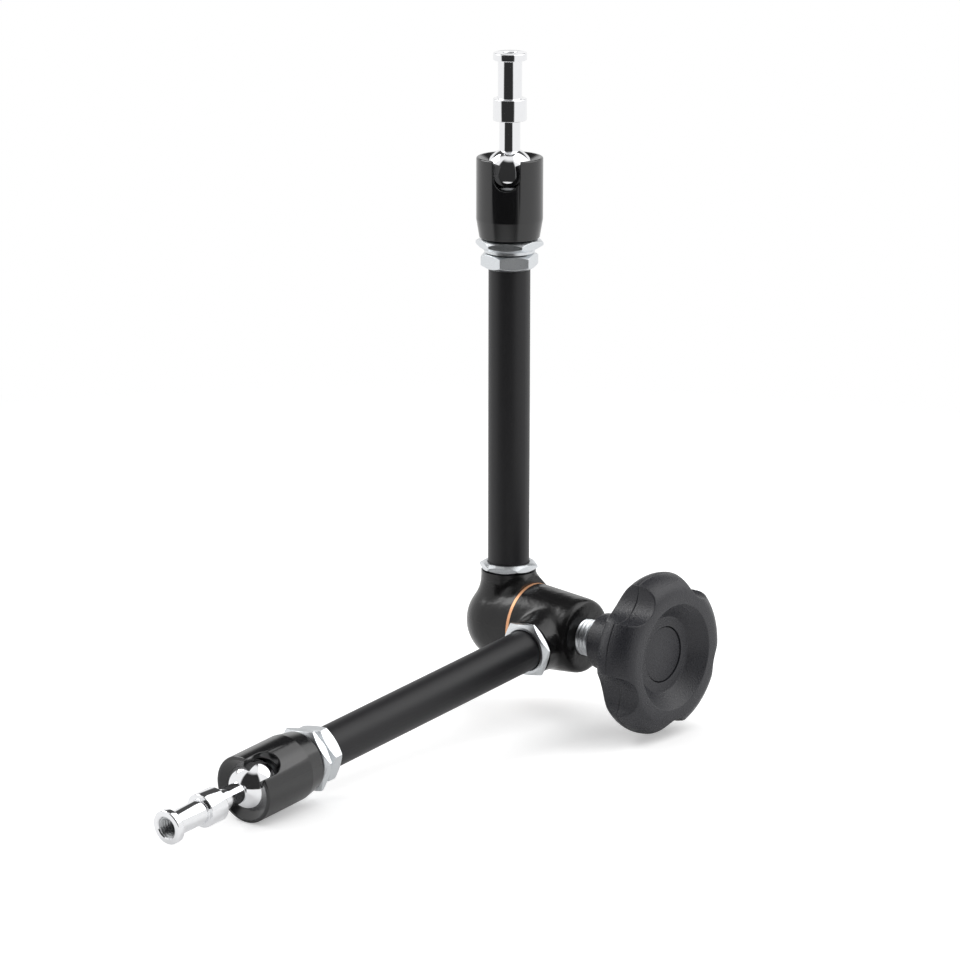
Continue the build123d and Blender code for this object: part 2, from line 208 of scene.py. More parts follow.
class ThreadSizes(bpy.types.PropertyGroup):
    """Sizes of the threads that show."""

    screw_radius: length("Screw radius", "Major radius of the knob's screw", 0.009)
    screw_pitch: length("Screw pitch", "Pitch of the knob's screw", 0.002)
    screw_depth: length("Screw depth", "Depth of the knob's screw thread", 0.0009)
    screw_back: length("Screw back", "Inner radius of the knob's screw thread", 0.0031)
    screw_mouth: length("Screw mouth", "Radius of the mouth that the knob's screw goes into", 0.00935)
    nipple_crest: length("Nipple crest", "Major radius of the nipple's thread", 0.0121)
    nipple_root: length("Nipple root", "Minor radius of the nipple's thread", 0.0116)
    nipple_back: length("Nipple back", "Inner radius of the nipple's thread", 0.0110)
    nipple_pitch: length("Nipple pitch", "Pitch of the nipple's fine thread", 0.0008)
    nipple_shown: length("Nipple shown", "Length of the nipple's thread below the lock nut", 0.0015)
    lower_pitch: length("Lower pitch", "Pitch of the thread in the lower stud", 0.0254 / 16)
    upper_pitch: length("Upper pitch", "Pitch of the thread in the upper stud", 0.0254 / 20)
    lower_major: length("Lower major", "Major radius of the lower stud's thread", 0.0254 * 3 / 16)
    upper_major: length("Upper major", "Major radius of the upper stud's thread", 0.0254 / 8)
    hole_depth: length("Hole depth", "Depth of the hole in each stud", 0.0145)
    hole_wall: length("Hole wall", "Thickness of the thread ring behind its root", 0.0002)
    thread_length: length("Thread length", "Length of the thread in each stud", 0.0135)
    thread_start: length("Thread start", "From a stud's end to the foot of its thread", 0.0140)


class Colours(bpy.types.PropertyGroup):
    """Base colours of the finishes."""

    casting: colour("Casting", "Semi-gloss black paint on the castings", (0.0060, 0.0058, 0.0060))
    tube: colour("Tube", "Satin black of the tubes", (0.0085, 0.0083, 0.0098))
    socket: colour("Socket", "Gloss black of the sockets", (0.0045, 0.0045, 0.0052))
    chrome: colour("Chrome", "Chrome of the studs", (0.86, 0.865, 0.88))
    zinc: colour("Zinc", "Bright zinc of the nuts", (0.73, 0.755, 0.775))
    steel: colour("Steel", "Bare steel inside", (0.52, 0.53, 0.54))
    copper: colour("Copper", "Copper coloured washer", (0.95, 0.48, 0.25))
    knob: colour("Knob", "Dark grey plastic of the knob", (0.0185, 0.0188, 0.0235))
    guide: colour("Guide", "Pale plastic of the rod guides", (0.70, 0.69, 0.64))


class StageSizes(bpy.types.PropertyGroup):
    """Camera, lights and floor."""

    azimuth: angle_size("Azimuth", "Turn of the camera round the arm", 40.02)
    elevation: angle_size("Elevation", "Camera's height above the horizon", 14.19)
    distance: length("Distance", "From the camera to the elbow", 2.3155)
    focal: FloatProperty(name="Focal length", description="Focal length in millimetres", default=178.79)
    roll: angle_size("Roll", "Lean of the camera", 0.08)
    elbow_right: length("Elbow right", "How far right of the view's middle the elbow lies", 0.01390)
    elbow_down: length("Elbow down", "How far below the view's middle the elbow lies", 0.06743)
    floor_span: length("Floor span", "Side of the floor", 12.0)
    shine_span: length("Shine span", "How far from the arm the floor shows in polished metal", 0.34)
    white_span: length("White span", "How far from the arm the floor turns plain white", 0.8)
    card_left: angle_size("Card left", "Left edge of the dark card", -62)
    card_right: angle_size("Card right", "Right edge of the dark card", 30)


class FrictionArm(bpy.types.PropertyGroup):
    """Every size and colour of the arm."""

    casting: PointerProperty(type=CastingSizes)
    socket: PointerProperty(type=SocketSizes)
    stud: PointerProperty(type=StudSizes)
    knob: PointerProperty(type=KnobSizes)
    thread: PointerProperty(type=ThreadSizes)
    colours: PointerProperty(type=Colours)
    stage: PointerProperty(type=StageSizes)


class Wire:
    """A node's socket that takes part in Python sums."""

    def __init__(self, tree, socket):
        self.tree = tree
        self.socket = socket

    def sum(self, operation, *others):
        """A sum that takes this value first."""
        return self.tree.sum(operation, self, *others)

    def __add__(self, other):
        return self.sum("ADD", other)

    def __radd__(self, other):
        return self.tree.sum("ADD", other, self)

    def __sub__(self, other):
        return self.sum("SUBTRACT", other)

    def __rsub__(self, other):
        return self.tree.sum("SUBTRACT", other, self)

    def __mul__(self, other):
        return self.sum("MULTIPLY", other)

    def __rmul__(self, other):
        return self.tree.sum("MULTIPLY", other, self)

    def __truediv__(self, other):
        return self.sum("DIVIDE", other)

    def __rtruediv__(self, other):
        return self.tree.sum("DIVIDE", other, self)

    def __gt__(self, other):
        return self.sum("GREATER_THAN", other)

    def __lt__(self, other):
        return self.sum("LESS_THAN", other)

    def least(self, other):
        return self.sum("MINIMUM", other)

    def most(self, other):
        return self.sum("MAXIMUM", other)

    def soft_least(self, other, distance):
        return self.sum("SMOOTH_MIN", other, distance)

    def beside(self, other):
        """The distance from an axis, from two places at a right angle to it."""
        return (self * self + other * other).sum("SQRT")

    def step(self, low, high):
        """0 below low, 1 above high, and a smooth rise between."""
        values = {"Value": self, "From Min": low, "From Max": high}
        return self.tree.add("ShaderNodeMapRange", {"interpolation_type": "SMOOTHSTEP"}, values)

    def part(self, axis):
        """One of a vector's three numbers."""
        return self.tree.add("ShaderNodeSeparateXYZ", {}, {0: self}, axis)


class Tree:
    """Builds a node tree. Every node but a group's own ends comes from add."""

    def __init__(self, tree):
        self.tree = tree

    def add(self, kind, settings=None, inputs=None, output=0):
        node = self.tree.nodes.new(kind)
        for name, value in (settings or {}).items():
            setattr(node, name, value)
        for key, value in (inputs or {}).items():
            self.feed(node.inputs[key], value)
        return Wire(self, node.outputs[output])

    def sum(self, operation, *values):
        """A Math node on values and wires."""
        return self.add("ShaderNodeMath", {"operation": operation}, dict(enumerate(values)))

    def feed(self, socket, value):
        if isinstance(value, Wire):
            self.tree.links.new(value.socket, socket)
        else:
            socket.default_value = value

    def noise(self, place, scale, detail=2.0):
        return self.add("ShaderNodeTexNoise", {}, {"Vector": place, "Scale": scale, "Detail": detail})

    def mix(self, factor, first, second):
        return self.add("ShaderNodeMix", {"data_type": "RGBA"}, {0: factor, 6: first, 7: second}, 2)


def shade(rgb, factor=1.0):
    """A colour with its alpha, darker or lighter by a factor."""
    return (rgb[0] * factor, rgb[1] * factor, rgb[2] * factor, 1.0)


def finish(name, values, pattern):
    """A material: plain values for the shader's sockets, and a pattern for what changes over the surface."""
    material = bpy.data.materials.new(name)
    material.use_nodes = True
    tree = Tree(material.node_tree)
    shader = material.node_tree.nodes["Principled BSDF"]
    for socket, value in values.items():
        shader.inputs[socket].default_value = value
    place = tree.add("ShaderNodeTexCoord", output="Object")
    for socket, wire in pattern(tree, place).items():
        tree.feed(shader.inputs[socket], wire)
    return material


def bumped(tree, height, depth):
    """A bump of this depth, in metres, from a height between 0 and 1."""
    return tree.add("ShaderNodeBump", {}, {"Height": height, "Distance": depth, "Strength": 1.0})


def turning(tree, scale):
    """Fine rings left by turning, from the local coordinates stored on a turned piece."""
    local = tree.add("ShaderNodeAttribute", {"attribute_name": "local"}, output="Vector")
    radius = local.part(0).beside(local.part(1))
    rings = tree.add("ShaderNodeCombineXYZ", {}, {0: radius, 1: 0.0, 2: local.part(2)})
    return tree.noise(rings, scale, 3.0)


def cast_paint(colours):
    """Semi-gloss black paint over a cast surface: soft waves and a fine orange peel."""

    def pattern(tree, place):
        waves = tree.noise(place, 190, 3.0)
        peel = tree.noise(place, 1300, 2.0)
        height = waves * 0.80 + peel * 0.20
        rough = 0.17 + waves * 0.12
        tone = tree.mix(waves, shade(colours.casting, 0.8), shade(colours.casting, 1.25))
        return {"Base Color": tone, "Roughness": rough, "Normal": bumped(tree, height, 0.00030)}

    return finish("cast black paint", {"Specular IOR Level": 0.40}, pattern)


def tube_paint(colours):
    """Satin black of the tubes, with a very fine grain."""

    def pattern(tree, place):
        grain = tree.noise(place, 3200, 2.0)
        clouds = tree.noise(place, 90, 2.0)
        rough = 0.40 + clouds * 0.05 + grain * 0.04
        tone = tree.mix(clouds, shade(colours.tube, 0.92), shade(colours.tube, 1.08))
        return {"Base Color": tone, "Roughness": rough, "Normal": bumped(tree, grain, 0.000012)}

    return finish("satin black tube", {"Specular IOR Level": 0.40}, pattern)


def socket_gloss(colours):
    """Gloss black on turned metal, with faint rings."""

    def pattern(tree, place):
        rings = turning(tree, 2600)
        dust = tree.noise(place, 700, 2.0)
        rough = 0.15 + rings * 0.05 + dust * 0.03
        tone = tree.mix(dust, shade(colours.socket, 0.85), shade(colours.socket, 1.2))
        return {"Base Color": tone, "Roughness": rough, "Normal": bumped(tree, rings, 0.000006)}

    return finish("gloss black socket", {"Specular IOR Level": 0.75}, pattern)


def chrome_plate(colours):
    """Polished chrome over turned steel."""

    def pattern(tree, place):
        rings = turning(tree, 3000)
        haze = tree.noise(place, 420, 3.0)
        rough = 0.045 + rings * 0.035 + haze * 0.02
        tone = tree.mix(haze, shade(colours.chrome, 0.96), shade(colours.chrome, 1.02))
        return {"Base Color": tone, "Roughness": rough, "Normal": bumped(tree, rings, 0.000003)}

    return finish("polished chrome", {"Metallic": 1.0}, pattern)


def zinc_plate(colours):
    """Bright zinc: a pale blue metal with a crystalline grain."""

    def pattern(tree, place):
        grain = tree.noise(place, 2100, 3.0)
        patches = tree.noise(place, 300, 2.0)
        rough = 0.20 + grain * 0.16 + patches * 0.06
        tone = tree.mix(grain, shade(colours.zinc, 0.82), shade(colours.zinc, 1.12))
        return {"Base Color": tone, "Roughness": rough, "Normal": bumped(tree, grain, 0.00004)}

    return finish("bright zinc", {"Metallic": 1.0}, pattern)


def bare_steel(colours):
    """Machined steel of the pieces inside."""

    def pattern(tree, place):
        grain = tree.noise(place, 900, 3.0)
        rough = 0.30 + grain * 0.12
        tone = tree.mix(grain, shade(colours.steel, 0.9), shade(colours.steel, 1.1))
        return {"Base Color": tone, "Roughness": rough, "Normal": bumped(tree, grain, 0.00001)}

    return finish("machined steel", {"Metallic": 1.0}, pattern)


def copper_washer(colours):
    """Satin copper colour, a little darker where it has rubbed."""

    def pattern(tree, place):
        grain = tree.noise(place, 1200, 3.0)
        wear = tree.noise(place, 140, 2.0)
        rough = 0.34 + grain * 0.14
        tone = tree.mix(wear, shade(colours.copper, 0.86), shade(colours.copper, 1.06))
        return {"Base Color": tone, "Roughness": rough, "Normal": bumped(tree, grain, 0.00002)}

    return finish("copper washer", {"Metallic": 0.35}, pattern)


def knob_plastic(colours):
    """Dark grey moulded plastic with a sparkling fine grain."""

    def pattern(tree, place):
        grain = tree.noise(place, 1500, 3.0)
        flow = tree.noise(place, 120, 3.0)
        sparkle = grain.step(0.53, 0.62)
        tone = tree.mix(flow, shade(colours.knob, 0.9), shade(colours.knob, 1.1))
        rough = 0.36 + flow * 0.08 - sparkle * 0.20
        return {"Base Color": tone, "Roughness": rough, "Normal": bumped(tree, grain, 0.00022)}

    return finish("grained plastic", {"Specular IOR Level": 0.5}, pattern)


def guide_plastic(colours):
    """Plain pale plastic of the bushes in the tubes."""

    def pattern(tree, place):
        clouds = tree.noise(place, 200, 2.0)
        tone = tree.mix(clouds, shade(colours.guide, 0.95), shade(colours.guide))
        return {"Base Color": tone, "Roughness": 0.45 + clouds * 0.1}

    return finish("pale plastic", {}, pattern)


makers = {
    "casting_black": cast_paint,
    "tube_black": tube_paint,
    "socket_black": socket_gloss,
    "chrome": chrome_plate,
    "zinc": zinc_plate,
    "bare_steel": bare_steel,
    "copper": copper_washer,
    "knob_plastic": knob_plastic,
    "guide_plastic": guide_plastic,
}
finishes = {}


def finish_of(slot):
    """The material of a slot, made once."""
    if slot not in finishes:
        finishes[slot] = makers[slot](bpy.context.scene.friction_arm.colours)
    return finishes[slot]


def paint(node, slot):
    """Gives a CAD node its finish."""
    materials = frame["nodes"][node].data.materials
    materials.clear()
    materials.append(finish_of(slot))


def rounded(corners, steps=4):
    """An outline from (radius, height, rounding) corners: each rounding becomes an arc."""
    points = []
    count = len(corners)
    for index, (radius, height, rounding) in enumerate(corners):
        corner = Vector((radius, height))
        if not rounding:
            points.append(corner)
            continue
        before = (Vector(corners[index - 1][:2]) - corner).normalized()
        after = (Vector(corners[(index + 1) % count][:2]) - corner).normalized()
        half = before.angle(after) / 2
        cut = rounding / math.tan(half)
        centre = corner + (before + after).normalized() * (rounding / math.sin(half))
        start, end = corner + before * cut - centre, corner + after * cut - centre
        sweep = start.angle_signed(end)
        for step in range(steps + 1):
            turn = Matrix.Rotation(-sweep * step / steps, 2)
            points.append(centre + turn @ start)
    return [(point.x, point.y) for point in points]


def arc(centre_height, radius, start, end, steps):
    """Points of an arc about a point on the axis, between two angles in degrees from the axis' foot."""
    angles = [math.radians(start + (end - start) * step / steps) for step in range(steps + 1)]
    return [(radius * math.sin(angle), centre_height - radius * math.cos(angle)) for angle in angles]


@contextmanager
def editing(mesh):
    """Opens a mesh, and writes it back when its changes are made."""
    built = bmesh.new()
    built.from_mesh(mesh)
    yield built
    built.to_mesh(mesh)
    built.free()


def turned(outline, matrix, steps=128):
    """A mesh turned about its frame's Z axis from a closed outline of (radius, height) points."""
    mesh = bpy.data.meshes.new("turned")
    on_axis = 1e-7
    ways = [(math.cos(math.tau * step / steps), math.sin(math.tau * step / steps)) for step in range(steps)]
    with editing(mesh) as built:
        rings = []
        for radius, height in outline:
            places = [(0, 0)] if radius < on_axis else [(radius * x, radius * y) for x, y in ways]
            rings.append([built.verts.new((x, y, height)) for x, y in places])
        for first, second in zip(rings, rings[1:] + rings[:1]):
            for step in range(steps):
                following = (step + 1) % steps
                around = [
                    first[step % len(first)],
                    first[following % len(first)],
                    second[following % len(second)],
                    second[step % len(second)],
                ]
                corners = list(dict.fromkeys(around))
                if len(corners) > 2:
                    built.faces.new(corners)
        bmesh.ops.recalc_face_normals(built, faces=built.faces)
    mesh.transform(matrix)
    return mesh


def merged_copy(node):
    """A CAD node's mesh with its triangles joined and its flat faces whole."""
    mesh = bpy.data.meshes.new(node)
    flat = math.radians(0.3)
    with editing(mesh) as built:
        built.from_mesh(frame["nodes"][node].data)
        bmesh.ops.remove_doubles(built, verts=built.verts, dist=2e-6)
        bmesh.ops.dissolve_limit(built, angle_limit=flat, verts=built.verts, edges=built.edges)
    return mesh


def object_of(name, mesh):
    """A new object in the scene for a mesh."""
    piece = bpy.data.objects.new(name, mesh)
    bpy.context.scene.collection.objects.link(piece)
    return piece


def apply_modifiers(piece):
    """Turns a piece with its modifiers into a plain mesh."""
    bpy.context.view_layer.update()
    shown = piece.evaluated_get(bpy.context.evaluated_depsgraph_get())
    mesh = bpy.data.meshes.new_from_object(shown)
    piece.modifiers.clear()
    piece.data = mesh


def smooth_shaded(mesh, angle=math.radians(38)):
    """Smooth shading, with edges kept sharp past an angle."""
    with editing(mesh) as built:
        for face in built.faces:
            face.smooth = True
        for edge in built.edges:
            edge.smooth = len(edge.link_faces) < 2 or edge.calc_face_angle() < angle


def bevelled(piece, width, segments=2, angle=math.radians(28)):
    """Rounds a piece's edges and weights its normals, so that edges catch light."""
    smooth_shaded(piece.data, math.radians(60))
    bevel = piece.modifiers.new("edges", "BEVEL")
    bevel.limit_method = "ANGLE"
    bevel.angle_limit = angle
    bevel.width = width
    bevel.segments = segments
    bevel.harden_normals = True
    weights = piece.modifiers.new("weights", "WEIGHTED_NORMAL")
    weights.keep_sharp = True
    apply_modifiers(piece)


def store_local(mesh, matrix):
    """Stores each point's place in the piece's own frame, for patterns that follow its axis."""
    back = matrix.inverted()
    local = mesh.attributes.new("local", "FLOAT_VECTOR", "POINT")
    for vertex in mesh.vertices:
        local.data[vertex.index].vector = back @ vertex.co


def settle(piece, body, slot, *nodes):
    """Gives a finished piece its body, its finish and the nodes that it stands for."""
    piece.data.materials.clear()
    piece.data.materials.append(finish_of(slot))
    for face in piece.data.polygons:
        face.material_index = 0
    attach(piece, body)
    if nodes:
        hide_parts(*nodes)


def cut_flat(built, point, normal):
    """Cuts off what lies beyond a plane and closes the cut."""
    everything = built.verts[:] + built.edges[:] + built.faces[:]
    cut = bmesh.ops.bisect_plane(built, geom=everything, plane_co=point, plane_no=normal, clear_outer=True)
    rim = [item for item in cut["geom_cut"] if isinstance(item, bmesh.types.BMEdge)]
    bmesh.ops.edgenet_fill(built, edges=rim)


def cut_away(piece, mesh):
    """Cuts a mesh's form out of a piece."""
    cutter = object_of("cutter", mesh)
    cut = piece.modifiers.new("cut", "BOOLEAN")
    cut.object = cutter
    cut.solver = "EXACT"
    apply_modifiers(piece)
    bpy.data.objects.remove(cutter)


def cut_hole(piece, radius, start, end, matrix):
    """Cuts a round hole into a piece."""
    cut_away(piece, turned([(0, start), (radius, start), (radius, end), (0, end)], matrix, 96))


def without_loose_bits(mesh, smallest=20):
    """Joins doubled points, drops faces without area and removes the loose bits that a cut can leave."""
    doubled = 1e-6
    with editing(mesh) as built:
        bmesh.ops.remove_doubles(built, verts=built.verts, dist=doubled)
        bmesh.ops.dissolve_degenerate(built, edges=built.edges, dist=doubled)
        unseen = set(built.faces)
        loose = []
        while unseen:
            island = [unseen.pop()]
            for face in island:
                linked = {other for edge in face.edges for other in edge.link_faces} & unseen
                unseen -= linked
                island.extend(linked)
            if len(island) < smallest:
                loose.extend(island)
        bmesh.ops.delete(built, geom=loose, context="FACES")


def boss_outline(sizes, body_radius, top):
    """The tube boss: straight at its top, with a hollow flare down to a ball of the body's radius."""
    arc_height = top - sizes.boss_straight
    boss = sizes.boss_radius
    flare = (boss**2 + arc_height**2 - body_radius**2) / (2 * (body_radius - boss))
    centre = Vector((boss + flare, arc_height))
    foot = centre * (body_radius / centre.length)
    start = math.atan2(foot.y - centre.y, foot.x - centre.x)
    sweep = -math.pi - start if start < 0 else math.pi - start
    steps = 14
    angles = [start + sweep * step / steps for step in range(steps + 1)]
    curve = [(centre.x + flare * math.cos(a), centre.y + flare * math.sin(a)) for a in angles]
    return [(0, foot.y), *curve, (boss, top + sizes.spare), (0, top + sizes.spare)]


def web(sizes, top):
    """A cone that fills the corner between the upper boss and the barrel on the washer's side."""
    foot = top - sizes.web_drop
    tip = top - sizes.web_depth
    buried = sizes.body_radius / 2
    buried_radius = sizes.web_radius * 0.9
    outline = [
        (0, buried),
        (buried_radius, buried),
        (sizes.web_radius, foot),
        (sizes.web_tip_radius, tip),
        (0, tip),
    ]
    return turned(outline, arm_frame["upper"] @ Matrix.Translation((sizes.web_shift, 0, 0)), 96)


def casting(sizes, side, barrel, body_radius, faces, holes):
    """An elbow half: barrel and boss blended as one casting, then faced and bored as the real one is."""
    top = heights("casting")[1]
    arm = arm_frame[side]
    mesh = bpy.data.meshes.new("casting")
    with editing(mesh) as solid:
        solid.from_mesh(turned(barrel, axis_frame, 96))
        solid.from_mesh(turned(boss_outline(sizes, body_radius, top), arm, 96))
        if side == "upper":
            solid.from_mesh(web(sizes, top))
    piece = object_of(f"{side}_casting_cast", mesh)
    remesh = piece.modifiers.new("skin", "REMESH")
    remesh.mode = "VOXEL"
    remesh.voxel_size = sizes.voxel
    blend = piece.modifiers.new("blend", "SMOOTH")
    blend.factor = 0.5
    blend.iterations = sizes.blend
    apply_modifiers(piece)
    with editing(piece.data) as built:
        cut_flat(built, arm @ Vector((0, 0, top)), arm_axis[side])
        for place, normal in faces:
            cut_flat(built, axis_frame @ Vector((0, 0, place)), normal)
        bmesh.ops.triangulate(built, faces=[face for face in built.faces if len(face.verts) > 4])
    for hole in holes:
        cut_hole(piece, *hole)
    without_loose_bits(piece.data)
    smooth_shaded(piece.data)
    store_local(piece.data, arm)
    settle(piece, f"{side}_arm", "casting_black", f"{side}_casting")


class ARM_OT_castings(bpy.types.Operator):
    """Makes the two elbow halves."""

    bl_idname = "arm.castings"
    bl_label = "Elbow castings"

    def execute(self, context):
        sizes = context.scene.friction_arm.casting
        face, far_face = reach("friction_washer")
        end = reach("lower_casting")[1]
        radius = sizes.body_radius
        tube_radius = (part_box("upper_tube")[1].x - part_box("upper_tube")[0].x) / 2
        seat, top = heights("tube")[0], heights("casting")[1]
        ring_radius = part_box("pivot_retaining_ring")[1].z - elbow.z
        ring_seat = reach("pivot_sleeve")[0]
        dome = [*arc(0, radius, 0, 90, 24), (radius, face + sizes.spare), (0, face + sizes.spare)]
        holes = [
            (tube_radius, seat, top + sizes.spare, arm_frame["upper"]),
            (ring_radius + sizes.hair, ring_seat - sizes.hair, face + sizes.spare, axis_frame),
        ]
        casting(sizes, "upper", dome, radius, [(face - sizes.hair, knob_axis)], holes)
        start = far_face - sizes.spare
        slope = (radius - sizes.end_radius) / (end - far_face)
        barrel = rounded([
            (0, start, 0),
            (radius + slope * sizes.spare, start, 0),
            (sizes.end_radius, end, sizes.end_round),
            (0, end, 0),
        ])
        at_boss = radius - slope * (arm_offset - far_face)
        thread = context.scene.friction_arm.thread
        screw_gap = 0.00005
        mouth_depth = 0.0004
        holes = [
            (tube_radius, seat, top + sizes.spare, arm_frame["lower"]),
            (thread.screw_radius + screw_gap, reach("pivot_sleeve")[1], end + sizes.spare, axis_frame),
            (thread.screw_mouth, end - mouth_depth, end + sizes.spare, axis_frame),
        ]
        casting(sizes, "lower", barrel, at_boss, [(far_face, -knob_axis)], holes)
        return {"FINISHED"}


class ARM_OT_tubes(bpy.types.Operator):
    """Finishes the two tubes and the bushes in them."""

    bl_idname = "arm.tubes"
    bl_label = "Tubes"

    def execute(self, context):
        for side in arm_axis:
            paint(f"{side}_tube", "tube_black")
            paint(f"{side}_rod_guide", "guide_plastic")
        return {"FINISHED"}


class ARM_OT_nuts(bpy.types.Operator):
    """Makes the jam nuts, adaptors and lock nuts, with worn edges that catch light."""

    bl_idname = "arm.nuts"
    bl_label = "Nuts"

    def execute(self, context):
        edge = 0.00022
        for side in arm_axis:
            for nut in ("jam_nut", "hex_adaptor", "lock_nut"):
                piece = object_of(f"{side}_{nut}_plated", merged_copy(f"{side}_{nut}"))
                bevelled(piece, edge)
                store_local(piece.data, arm_frame[side])
                settle(piece, f"{side}_arm", "zinc", f"{side}_{nut}")
        return {"FINISHED"}


def socket_outline(sizes, start, rim, ball_height, seat):
    """The outline of a socket: tapered foot, round rim, dished mouth, ball seat and bore."""
    aperture_height = ball_height + math.sqrt(seat**2 - sizes.aperture**2)
    opening = 180 - math.degrees(math.asin(sizes.aperture / seat))
    ball_seat = arc(ball_height, seat, opening, 90, 10)
    foot_edge, inner_edge = 0.0003, 0.0001
    corners = [
        (seat, start, 0),
        (sizes.foot_radius, start, foot_edge),
        (sizes.radius, start + sizes.taper, 0),
        (sizes.radius, rim, sizes.rim_edge),
        (sizes.radius - sizes.rim_edge - sizes.rim_flat, rim, inner_edge),
        (sizes.aperture, aperture_height, 0),
    ]
    return rounded(corners, 8) + ball_seat[1:]


def slot_cutter(sizes, above, matrix):
    """A cutter for the notch. It widens as it leaves the socket, so that the notch's edge is round."""
    edge = sizes.notch_edge
    outer_edge = edge * 1.2
    outside_skin = 0.00004
    curve = [math.radians(20 * step) for step in range(5)]
    flare = [(edge * (1 - math.cos(a)), edge * (math.sin(a) - 1)) for a in curve]
    walls = [(0, None), *flare, (outer_edge, outside_skin), (outer_edge, sizes.radius)]
    bend_steps = 40
    bends = [math.pi * (1 + step / bend_steps) for step in range(bend_steps + 1)]
    past_rim = 0.003
    top = above + past_rim
    mesh = bpy.data.meshes.new("cutter")
    with editing(mesh) as built:
        rings = []
        for widening, rise in walls:
            width = sizes.notch_width + widening
            bend = [(width * math.cos(a), width * math.sin(a)) for a in bends]
            ring = []
            for across, height in [(-width, top), *bend, (width, top)]:
                skin = math.sqrt(sizes.radius**2 - across**2)
                ring.append(built.verts.new((0 if rise is None else skin + rise, across, height)))
            rings.append(ring)
        for first, second in zip(rings, rings[1:]):
            for index in range(len(first)):
                following = (index + 1) % len(first)
                built.faces.new([first[index], first[following], second[following], second[index]])
        built.faces.new(rings[0])
        built.faces.new(rings[-1])
        bmesh.ops.recalc_face_normals(built, faces=built.faces)
        bmesh.ops.triangulate(built, faces=built.faces)
    mesh.transform(matrix)
    return mesh


def skin_normals(mesh, matrix, sizes, start):
    """Gives the socket's cylinder and taper their true normals, however the notch has cut their faces."""
    back = matrix.inverted()
    slope = (sizes.radius - sizes.foot_radius) / sizes.taper
    normals = [Vector(corner.vector) for corner in mesh.corner_normals]
    places = [back @ vertex.co for vertex in mesh.vertices]
    near = 2e-6
    for face in mesh.polygons:
        corners = [places[index] for index in face.vertices]
        radii = [corner.xy.length for corner in corners]
        on_cylinder = all(abs(radius - sizes.radius) < near for radius in radii)
        tapered = [sizes.foot_radius + slope * (corner.z - start) for corner in corners]
        on_taper = all(abs(radius - true) < near for radius, true in zip(radii, tapered))
        if on_cylinder or on_taper:
            lean = -slope if on_taper else 0.0
            for loop, corner in zip(face.loop_indices, corners):
                outward = Vector((corner.x, corner.y, 0)).normalized()
                normals[loop] = matrix.to_3x3() @ (outward + Vector((0, 0, lean))).normalized()
    mesh.normals_split_custom_set(normals)


class ARM_OT_sockets(bpy.types.Operator):
    """Makes the two notched ball sockets."""

    bl_idname = "arm.sockets"
    bl_label = "Ball sockets"

    def execute(self, context):
        settings = context.scene.friction_arm
        sizes = settings.socket
        start, rim = heights("socket")
        ball_height = rim - settings.stud.ball_depth
        seat = settings.stud.ball_radius + sizes.running_gap
        for side in arm_axis:
            shell = turned(socket_outline(sizes, start, rim, ball_height, seat), arm_frame[side], 192)
            piece = object_of(f"{side}_socket_turned", shell)
            notch = arm_axis[side].cross(Vector(joints[f"{side}_ball_tilt"]["axis"])) * notch_way[side]
            cutter_frame = frame_of(arm_frame[side] @ Vector((0, 0, ball_height)), arm_axis[side], notch)
            cut_away(piece, slot_cutter(sizes, rim - ball_height, cutter_frame))
            without_loose_bits(piece.data)
            smooth_shaded(piece.data)
            skin_normals(piece.data, arm_frame[side], sizes, start)
            store_local(piece.data, arm_frame[side])
            settle(piece, f"{side}_socket", "socket_black", f"{side}_socket")
        return {"FINISHED"}


def stud_outline(sizes, tip, ball_height, bore_radius, depth):
    """The outline of a stud, from the foot of its ball to the floor of its threaded hole."""
    edge = sizes.edge
    collar = ball_height + sizes.neck_length
    collar_end = collar + sizes.collar_length
    flange = collar_end + sizes.waist_length
    junction = math.degrees(math.asin(sizes.neck_radius / sizes.ball_radius))
    ball = arc(ball_height, sizes.ball_radius, 0, 180 - junction, 48)
    corners = rounded([
        (*ball[-1], 0),
        (sizes.neck_radius, collar, edge),
        (sizes.spigot_radius, collar, edge),
        (sizes.spigot_radius, collar_end, edge),
        (sizes.waist_radius, collar_end, edge),
        (sizes.waist_radius, flange, edge),
        (sizes.spigot_radius, flange, edge),
        (sizes.spigot_radius, tip, sizes.tip_edge),
        (bore_radius + edge, tip, 0),
        (bore_radius, tip - edge, 0),
        (bore_radius, tip - depth, 0),
        (0, tip - depth - bore_radius / 2, 0),
    ])
    return ball[:-1] + corners


class ARM_OT_studs(bpy.types.Operator):
    """Makes the two ball studs."""

    bl_idname = "arm.studs"
    bl_label = "Ball studs"

    def execute(self, context):
        settings = context.scene.friction_arm
        thread = settings.thread
        tip = heights("ball_stud")[1]
        ball_height = heights("socket")[1] - settings.stud.ball_depth
        for side in arm_axis:
            bore = getattr(thread, f"{side}_major") + thread.hole_wall
            outline = stud_outline(settings.stud, tip, ball_height, bore, thread.hole_depth)
            piece = object_of(f"{side}_stud_turned", turned(outline, arm_frame[side], 160))
            smooth_shaded(piece.data)
            store_local(piece.data, arm_frame[side])
            settle(piece, f"{side}_stud", "chrome", f"{side}_ball_stud")
        return {"FINISHED"}


def geometry_tree(name, inputs):
    """A geometry node tree with named inputs, a wrapper to build it, and its inputs as wires."""
    group = bpy.data.node_groups.new(name, "GeometryNodeTree")
    group.interface.new_socket("Geometry", in_out="OUTPUT", socket_type="NodeSocketGeometry")
    for socket, kind in inputs.items():
        group.interface.new_socket(socket, in_out="INPUT", socket_type=kind)
    tree = Tree(group)
    source = group.nodes.new("NodeGroupInput")
    wires = {socket: Wire(tree, source.outputs[socket]) for socket in inputs}
    return group, tree, wires


